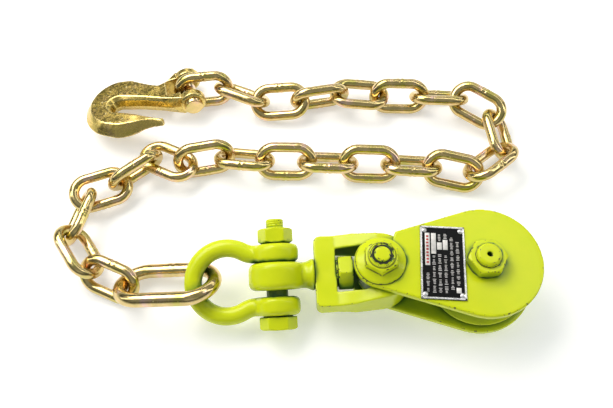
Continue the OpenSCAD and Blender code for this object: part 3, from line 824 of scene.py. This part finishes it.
def plating_material(name, settings, groups, forged=False):
    """Yellow chromated zinc: gold with pink and green patches, brown in the hollows."""
    material, tree, shader = new_material(name)
    edges = place_group(tree, groups["edges"], Edge_Width=0.045 if forged else 0.07, Hollow_Width=0.07)
    grain = place_group(tree, groups["grain"], Fine=900.0, Coarse=150.0)
    place = tree.nodes.new("ShaderNodeTexCoord").outputs["Object"]
    patch = noise_node(tree, place, 95.0, 2.0)
    ramp = tree.nodes.new("ShaderNodeValToRGB")
    tree.links.new(patch, ramp.inputs["Fac"])
    stops = ramp.color_ramp.elements
    stops[0].position, stops[0].color = 0.30, opaque(settings.green)
    stops[1].position, stops[1].color = 0.72, opaque(settings.pink)
    middle = stops.new(0.44)
    middle.color = opaque(settings.gold)
    pale = stops.new(0.56)
    pale.color = opaque([min(1, c * 1.12) for c in settings.gold])
    color = ramp.outputs["Color"]
    if forged:
        color = mix_color(tree, 0.72, color, FORGED_GOLD)
        pits = range_node(tree, grain.outputs["Speck"], 0.54, 0.66, 0, 0.3)
        color = mix_color(tree, pits, color, PITTED_GOLD)
        # lighter along the raised edges: rubbed plating with a painted highlight
        color = mix_color(tree, edges.outputs["Edge"], color, RUBBED_AND_HIGHLIGHT_GOLD)
    hollow = math_node(tree, "MULTIPLY", edges.outputs["Hollow"], 0.25 if forged else 0.85, clamp=True)
    color = mix_color(tree, hollow, color, ZINC_BROWN)
    base = settings.forged_roughness if forged else settings.roughness
    depth = 0.10 if forged else 0.05
    rough = range_node(tree, grain.outputs["Speck"], 0.35, 0.7, base - 0.06, base + 0.14)
    wire_up(
        tree,
        (color, shader.inputs["Base Color"]),
        (rough, shader.inputs["Roughness"]),
        (bump(tree, grain.outputs["Height"], depth, 0.3 * MM), shader.inputs["Normal"]),
    )
    set_values(shader, Metallic=1.0)
    return material


def plain_material(name, color, roughness, groups, metallic=0.0, depth=0.12, gleam=0.5):
    """One finish with fine unevenness in its shade, gloss and surface."""
    material, tree, shader = new_material(name)
    grain = place_group(tree, groups["grain"], Fine=900.0, Coarse=220.0)
    shade = range_node(tree, grain.outputs["Shade"], 0.35, 0.65)
    rough = range_node(tree, grain.outputs["Speck"], 0.3, 0.7, roughness - 0.05, roughness + 0.1)
    wire_up(
        tree,
        (mix_color(tree, shade, color, [c * 0.72 for c in color]), shader.inputs["Base Color"]),
        (rough, shader.inputs["Roughness"]),
        (bump(tree, grain.outputs["Height"], depth, 0.2 * MM), shader.inputs["Normal"]),
    )
    set_values(shader, Metallic=metallic, Specular_IOR_Level=gleam)
    return material


# material's name, colour, roughness and what else is not plain about it
PLAIN_FINISHES = {
    "crack": ("cracked_paint_and_contact_shade", (0.02, 0.024, 0.008), 0.6, {}),
    "bronze": ("bearing_bronze", (0.42, 0.26, 0.09), 0.35, {"metallic": 1.0}),
    "field": ("nameplate_black", (0.004, 0.004, 0.005), 0.3, {"gleam": 0.12}),
    "bright": ("nameplate_bright", (0.85, 0.84, 0.84), 0.25, {"metallic": 0.75, "depth": 0.3}),
    "mark": ("nameplate_mark", (0.62, 0.60, 0.60), 0.5, {}),
    "blank": ("nameplate_blank", (0.82, 0.80, 0.78), 0.5, {}),
    "red": ("nameplate_red", (0.45, 0.03, 0.03), 0.5, {}),
    "steel": ("spring_steel", (0.62, 0.58, 0.42), 0.3, {"metallic": 1.0}),
}
FINISHES = {}


def finish(name):
    """A finish by name, made the first time it is asked for."""
    if not FINISHES:
        scene = bpy.context.scene
        paint, plating = scene.block_paint, scene.chain_plating
        groups = {"edges": edge_group(), "grain": grain_group()}
        FINISHES["paint"] = paint_material("block_paint", paint, groups)
        # on bolts and nuts the hollows go near black: pooled paint with painted shade in the creases
        FINISHES["worn_paint"] = paint_material(
            "worn_block_paint", paint, groups, chips=1.2, pool=1.5, worn=0.1, pooled_and_shaded_color=(0.035, 0.045, 0.01)
        )
        FINISHES["plating"] = plating_material("chain_plating", plating, groups)
        FINISHES["forged"] = plating_material("forged_plating", plating, groups, forged=True)
        for key, (label, color, roughness, others) in PLAIN_FINISHES.items():
            FINISHES[key] = plain_material(label, color, roughness, groups, **others)
    return FINISHES[name]


def give_finish(piece, name):
    """Gives a piece one finish and no other."""
    piece.data.materials.clear()
    piece.data.materials.append(finish(name))


def finish_piece(piece, node, finish_name, instead=False):
    """Shades a piece smoothly, gives it its finish and hangs it on the node's body.

    With instead, the piece stands for the node.
    """
    give_finish(piece, finish_name)
    piece.data.polygons.foreach_set("use_smooth", [True] * len(piece.data.polygons))
    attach(piece, body_of_node(node))
    if instead:
        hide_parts(node)
    return piece


def painted(node, soften=3, step=1.0, finish_name="paint", forged=0.0, swell=0.0):
    """Lays a paint skin over a node's solid and lets it stand for the node.

    A skin that was softened a lot has shrunk, and swell brings it out again.
    """
    piece = skin_over(node, node + "_skin", bpy.context.scene.block_paint.skin * step, soften)
    if forged or swell:
        hammer(piece, forged, FORGE_PATCH, swell)
    mark_recesses(piece)
    return finish_piece(piece, node, finish_name, instead=True)


# ---- one operator for each piece or group of pieces ----


class DressCheeks(bpy.types.Operator):
    """Paint both cheek plates"""

    bl_idname = "snatch_block.dress_cheeks"
    bl_label = "Cheek plates"

    def execute(self, context):
        painted("rear_cheek_plate", step=1.3)
        painted("front_cheek_plate", step=1.3)
        return {"FINISHED"}


class DressSheave(bpy.types.Operator):
    """Paint the sheave and show its bronze bushing"""

    bl_idname = "snatch_block.dress_sheave"
    bl_label = "Sheave"

    def execute(self, context):
        painted("sheave", step=1.3)
        give_finish(NODES["sheave_bushing"], "bronze")
        return {"FINISHED"}


class DressBlockBolts(bpy.types.Operator):
    """Paint the axle and pivot bolts, cut the axle's thread and fit the black lock ring"""

    bl_idname = "snatch_block.dress_block_bolts"
    bl_label = "Block bolts"

    def execute(self, context):
        for node in ("axle_bolt", "pivot_bolt"):
            painted(node, step=0.85, finish_name="worn_paint")
        for node in ("axle_nut", "pivot_flange_nut"):
            painted(node, step=0.7, soften=2, finish_name="worn_paint")
        up = Vector((0, 0, 1))
        nut_top = top_of("axle_nut")
        start, end = nut_top - 1 * MM, top_of("axle_bolt") - 1.5 * MM
        sleeve = thread_sleeve("axle_thread", (0, 0, 0), up, start, end, AXLE_THREAD_R, AXLE_PITCH)
        finish_piece(sleeve, "axle_bolt", "worn_paint")
        plate_top = top_of("front_cheek_plate")
        low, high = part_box("pivot_flange_nut")
        pivot = Vector(((low.x + high.x) / 2, (low.y + high.y) / 2, 0))
        nut_low, nut_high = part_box("axle_nut")
        nut_r, flange_r = (nut_high.x - nut_low.x) / 2, (high.x - low.x) / 2
        # dark rings round the seated nuts and at the thread: painted contact shade where the pieces meet,
        # with cracked paint
        crack_ring("axle_nut_crack", "axle_nut", up * plate_top, 0.9 * nut_r, 0.6 * MM)
        crack_ring("axle_thread_crack", "axle_nut", up * nut_top, AXLE_THREAD_R + 0.15 * MM, 0.6 * MM)
        crack_ring("flange_crack", "pivot_flange_nut", pivot + up * plate_top, flange_r, 0.3 * MM)
        # the lock ring was painted over, and only its edge along the thread stays black
        painted("nylon_lock_ring", step=0.65)
        ring = "nylon_lock_ring"
        ring_top = pivot + up * top_of(ring)
        edge = crack_ring("nylon_lock_ring_edge", ring, ring_top, LOCK_RING_BORE_R, LOCK_RING_EDGE)
        return {"FINISHED"}


NAMEPLATE_COLUMNS = (
    # place across, rows of marks from and to, blank fields from and to, all as shares of the plate
    (-0.34, [(-0.40, -0.16)], [(-0.05, 0.40)]),
    (-0.20, [(-0.41, 0.08)], [(0.11, 0.40)]),
    (-0.07, [(-0.41, 0.10), (0.30, 0.41)], [(0.17, 0.27)]),
    (0.06, [(-0.41, 0.10), (0.33, 0.41)], [(0.17, 0.31)]),
    (0.20, [(-0.36, 0.36)], []),
    (0.33, [(-0.30, 0.30)], [(-0.41, -0.34)]),
)


def plate_sides(low, high, turn):
    """The own width and height of a turned rectangle, from its box."""
    c, s = math.cos(turn), abs(math.sin(turn))
    box_w, box_h = high.x - low.x, high.y - low.y
    return (box_w * c - box_h * s) / (c * c - s * s), (box_h * c - box_w * s) / (c * c - s * s)


def plain_ticks(rng, y, end):
    """Place, length, share of the width and sideways shift of each tick in a row like words."""
    tick_gap, word_gap = 0.5 * MM, 1.0 * MM
    while y < end:
        word = rng.uniform(2.2, 5.2) * MM
        stop = min(y + word, end)
        while y < stop:
            tick = rng.uniform(0.42, 0.7) * MM
            yield y, tick, rng.choice((0.6, 0.75, 1.0)), rng.uniform(-0.1, 0.1) * MM
            y += tick + tick_gap
        y += word_gap


class BuildNameplate(bpy.types.Operator):
    """Build the nameplate's bright border, blank fields and rows of plain marks"""

    bl_idname = "snatch_block.build_nameplate"
    bl_label = "Nameplate"

    def execute(self, context):
        settings = context.scene.nameplate
        low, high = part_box("nameplate")
        centre, top = (low + high) / 2, high.z
        wide, tall = plate_sides(low, high, settings.turn)
        spin = Matrix.Rotation(settings.turn, 3, "Z")
        give_finish(NODES["nameplate"], "field")

        def spot(x, y, z=top):
            return Vector((centre.x, centre.y, 0)) + spin @ Vector((x, y, 0)) + Vector((0, 0, z))

        edge, rise = settings.border / 2, settings.rise
        rails = []
        for side in (-1, 1):
            rails.append((spot(side * (wide / 2 - edge), 0), (edge, tall / 2, rise), settings.turn))
            rails.append((spot(0, side * (tall / 2 - edge)), (wide / 2, edge, rise), settings.turn))
        border = bars("nameplate_border", rails)
        finish_piece(border, "nameplate", "bright")
        border.data.polygons.foreach_set("use_smooth", [False] * len(border.data.polygons))

        rng = random.Random(4)
        marks, blanks, reds = [], [], []
        thin = 0.08 * MM
        for across, rows, fields in NAMEPLATE_COLUMNS:
            for start, end in rows:
                for y, tick, share, shift in plain_ticks(rng, start * tall, end * tall):
                    size = (settings.mark / 2 * share, tick / 2, thin)
                    marks.append((spot(across * wide + shift, y), size, settings.turn))
            for start, end in fields:
                size = (settings.mark * 0.72, (end - start) / 2 * tall, thin)
                blanks.append((spot(across * wide, (start + end) / 2 * tall), size, settings.turn))
        # the first blank field is ruled with short red ticks
        across, _, ((start, end),) = NAMEPLATE_COLUMNS[0]
        length = (end - start) * tall
        for k in range(9):
            y = start * tall + length * (k + 0.9) / 10
            size = (settings.mark * 0.36, length * 0.03, thin / 2)
            reds.append((spot(across * wide, y, top + thin), size, settings.turn))
        finish_piece(bars("nameplate_marks", marks), "nameplate", "mark")
        finish_piece(bars("nameplate_blank_fields", blanks), "nameplate", "blank")
        finish_piece(bars("nameplate_red_ticks", reds), "nameplate", "red")

        rivets = skin_over("nameplate_rivets", "nameplate_rivets_skin", 0.25 * MM, 1)
        finish_piece(rivets, "nameplate_rivets", "bright", instead=True)
        return {"FINISHED"}


class DressYoke(bpy.types.Operator):
    """Paint the forged yoke"""

    bl_idname = "snatch_block.dress_yoke"
    bl_label = "Yoke"

    def execute(self, context):
        painted("yoke", soften=6, forged=0.35 * MM)
        # a dark ring where the swivel's collar stands on the yoke: painted shade in the gap between them
        origin, out = hinge_of("swivel_eye")
        if out.x > 0:
            out = -out
        face = span("yoke", origin, out)[1]
        crack_ring("swivel_gap", "yoke", origin + out * (face - 0.1 * MM), SWIVEL_COLLAR_R, 0.5 * MM, out)
        return {"FINISHED"}


class DressSwivel(bpy.types.Operator):
    """Paint the swivel eye, its washer and its nut"""

    bl_idname = "snatch_block.dress_swivel"
    bl_label = "Swivel eye"

    def execute(self, context):
        painted("swivel_eye", soften=26, forged=0.3 * MM, swell=0.1 * MM)
        painted("swivel_washer", step=0.8, soften=1, finish_name="worn_paint")
        painted("swivel_nut", step=0.9, soften=2, finish_name="worn_paint")
        return {"FINISHED"}


class DressShackle(bpy.types.Operator):
    """Paint the shackle bow, its bolt and its nut, and cut the bolt's thread"""

    bl_idname = "snatch_block.dress_shackle"
    bl_label = "Shackle"

    def execute(self, context):
        painted("shackle_bow", soften=70, forged=0.15 * MM, swell=0.3 * MM)
        painted("shackle_bolt", step=0.85, soften=3)
        painted("shackle_nut", step=0.8, soften=3)
        origin, axis = hinge_of("shackle_bow")
        if span("shackle_nut", origin, axis)[1] < -span("shackle_bolt", origin, axis)[0]:
            axis = -axis
        start = span("shackle_nut", origin, axis)[1] - 0.5 * MM
        end = span("shackle_bolt", origin, axis)[1] - 0.6 * MM
        sleeve = thread_sleeve("shackle_thread", origin, axis, start, end, SHACKLE_THREAD_R, SHACKLE_PITCH)
        finish_piece(sleeve, "shackle_bolt", "paint")
        return {"FINISHED"}


class BuildChain(bpy.types.Operator):
    """Draw the master link and every chain link with its weld"""

    bl_idname = "snatch_block.build_chain"
    bl_label = "Chain"

    def execute(self, context):
        settings = context.scene.chain_wire
        for number, node in enumerate(["master_link"] + CHAIN_LINKS):
            centre, long_axis, width_axis = link_axes(node)
            low, high = span(node, centre, long_axis.cross(width_axis))
            wire = min(high - low, MASTER_WIRE if node == "master_link" else CHAIN_WIRE)
            link = oval_link(node + "_drawn", node, wire, number, settings)
            finish_piece(link, node, "plating", instead=True)
        return {"FINISHED"}


class DressHook(bpy.types.Operator):
    """Give the grab hook its forged skin, and finish its pin and cotter"""

    bl_idname = "snatch_block.dress_hook"
    bl_label = "Grab hook"

    def execute(self, context):
        hook = forge_hook("grab_hook_forged")
        finish_piece(hook, "grab_hook", "forged", instead=True)
        pin = skin_over("clevis_pin", "clevis_pin_skin", 0.5 * MM, 3)
        finish_piece(pin, "clevis_pin", "plating", instead=True)
        give_finish(NODES["clevis_cotter"], "steel")
        return {"FINISHED"}


def lay_floor(settings):
    """A wide pale floor just under the part, with a painted shadow where the yoke's window shows it: grey
    and without glow there.
    """
    half, drop = 4.0, 0.3 * MM
    corners = [(x * half, y * half, -drop) for x, y in ((-1, -1), (1, -1), (1, 1), (-1, 1))]
    floor = drawn("floor", corners, [(0, 1, 2, 3)])
    material, tree, shader = new_material("pale_floor")
    set_values(shader, Roughness=0.9, Specular_IOR_Level=0.1, Emission_Color=(1, 1, 1, 1))
    # painted shadow: a grey disc under the swivel nut, shifted along the camera's tilt so that it lies
    # behind the yoke's window
    low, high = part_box("swivel_nut")
    nut = (low + high) / 2
    away = tree.nodes.new("ShaderNodeVectorMath")
    away.operation = "DISTANCE"
    away.inputs[1].default_value = (nut.x, nut.y + math.tan(settings.tilt) * nut.z, 0)
    tree.links.new(tree.nodes.new("ShaderNodeTexCoord").outputs["Object"], away.inputs[0])
    grey_r, pale_r = 11 * MM, 17 * MM
    lit = range_node(tree, away.outputs["Value"], grey_r, pale_r)
    glow = math_node(tree, "MULTIPLY", lit, settings.floor_glow)
    color = mix_color(tree, lit, FLOOR_PAINTED_SHADOW, settings.floor)
    wire_up(tree, (glow, shader.inputs["Emission Strength"]), (color, shader.inputs["Base Color"]))
    floor.data.materials.append(material)


def hang_lamp(name, place, size, power, color=(1, 1, 1)):
    """A rectangular lamp that faces the middle of the part."""
    low, high = CAD_BOX
    aim = (Vector(low) + Vector(high)) / 2
    light = bpy.data.lights.new(name, "AREA")
    light.shape = "RECTANGLE"
    light.size, light.size_y = size
    light.energy = power
    light.color = color
    lamp = bpy.data.objects.new(name, light)
    lamp.location = place
    lamp.rotation_euler = (Vector(place) - aim).to_track_quat("Z", "Y").to_euler()
    bpy.context.scene.collection.objects.link(lamp)


def light_world(scene):
    """A soft pale sky: its darker band above the horizon draws dark lines along polished wire."""
    world = scene.world or bpy.data.worlds.new("World")
    scene.world = world
    world.use_nodes = True
    tree = world.node_tree
    background = set_values(tree.nodes["Background"], Color=(0.93, 1.0, 0.98, 1))
    way = tree.nodes.new("ShaderNodeSeparateXYZ")
    tree.links.new(tree.nodes.new("ShaderNodeTexCoord").outputs["Generated"], way.inputs[0])
    sky = range_node(tree, way.outputs["Z"], 0.25, 0.75, 0.06, 0.34)
    horizon = range_node(tree, way.outputs["Z"], 0.14, 0.22, 0.75, 0)
    strength = math_node(tree, "ADD", sky, horizon)
    tree.links.new(strength, background.inputs["Strength"])


def set_camera(scene, settings):
    """The camera over the part's near side, tilted from straight down."""
    camera = bpy.data.cameras.new("camera")
    camera.lens = settings.lens
    camera.sensor_width = 36
    camera.sensor_fit = "HORIZONTAL"
    camera.clip_start = 0.01
    holder = bpy.data.objects.new("camera", camera)
    holder.location = settings.camera_at
    holder.rotation_euler = (settings.tilt, 0, 0)
    scene.collection.objects.link(holder)
    scene.camera = holder


STRIPS = (
    # side, place and size of each strip lamp, which draws a bright line along the wire
    ("left", (-0.85, 0.05, 0.6), (0.15, 0.9)),
    ("right", (0.75, 0.1, 0.55), (0.15, 0.9)),
    ("back", (0.2, 0.85, 0.45), (1.3, 0.12)),
    ("top", (0.25, 0.42, 0.95), (1.1, 0.14)),
)


class SetStage(bpy.types.Operator):
    """Lay the floor, hang the lamps and set the camera"""

    bl_idname = "snatch_block.set_stage"
    bl_label = "Stage"

    def execute(self, context):
        settings = context.scene.block_stage
        lay_floor(settings)
        hang_lamp("key_lamp", (-0.55, 0.50, 0.80), (0.8, 0.55), settings.key_power, (1, 0.94, 0.88))
        hang_lamp("fill_lamp", (-0.1, -0.75, 0.7), (0.8, 0.4), settings.fill_power)
        for side, place, size in STRIPS:
            hang_lamp("strip_" + side, place, size, settings.rim_power)
        light_world(context.scene)
        set_camera(context.scene, settings)
        context.scene.view_settings.view_transform = "Standard"
        return {"FINISHED"}


STEPS = (
    DressCheeks,
    DressSheave,
    DressBlockBolts,
    BuildNameplate,
    DressYoke,
    DressSwivel,
    DressShackle,
    BuildChain,
    DressHook,
    SetStage,
)


class BlockPanel(bpy.types.Panel):
    """Lists the steps that dress the block"""

    bl_idname = "VIEW3D_PT_snatch_block"
    bl_label = "Snatch Block"
    bl_space_type = "VIEW_3D"
    bl_region_type = "UI"
    bl_category = "Snatch Block"

    def draw(self, context):
        for step in STEPS:
            self.layout.operator(step.bl_idname)
        for holder in SETTINGS:
            group = getattr(context.scene, holder)
            for name in group.bl_rna.properties.keys():
                if name not in ("rna_type", "name"):
                    self.layout.prop(group, name)


SETTINGS = {
    "block_paint": PaintSettings,
    "chain_plating": PlatingSettings,
    "chain_wire": WireSettings,
    "nameplate": NameplateSettings,
    "block_stage": StageSettings,
}


def register():
    for group in SETTINGS.values():
        bpy.utils.register_class(group)
    for holder, group in SETTINGS.items():
        setattr(bpy.types.Scene, holder, PointerProperty(type=group))
    for step in STEPS:
        bpy.utils.register_class(step)
    bpy.utils.register_class(BlockPanel)


def unregister():
    bpy.utils.unregister_class(BlockPanel)
    for step in reversed(STEPS):
        bpy.utils.unregister_class(step)
    for holder, group in reversed(SETTINGS.items()):
        delattr(bpy.types.Scene, holder)
        bpy.utils.unregister_class(group)


def main():
    register()
    for step in STEPS:
        space, name = step.bl_idname.split(".")
        getattr(getattr(bpy.ops, space), name)()


if __name__ == "__main__":
    main()
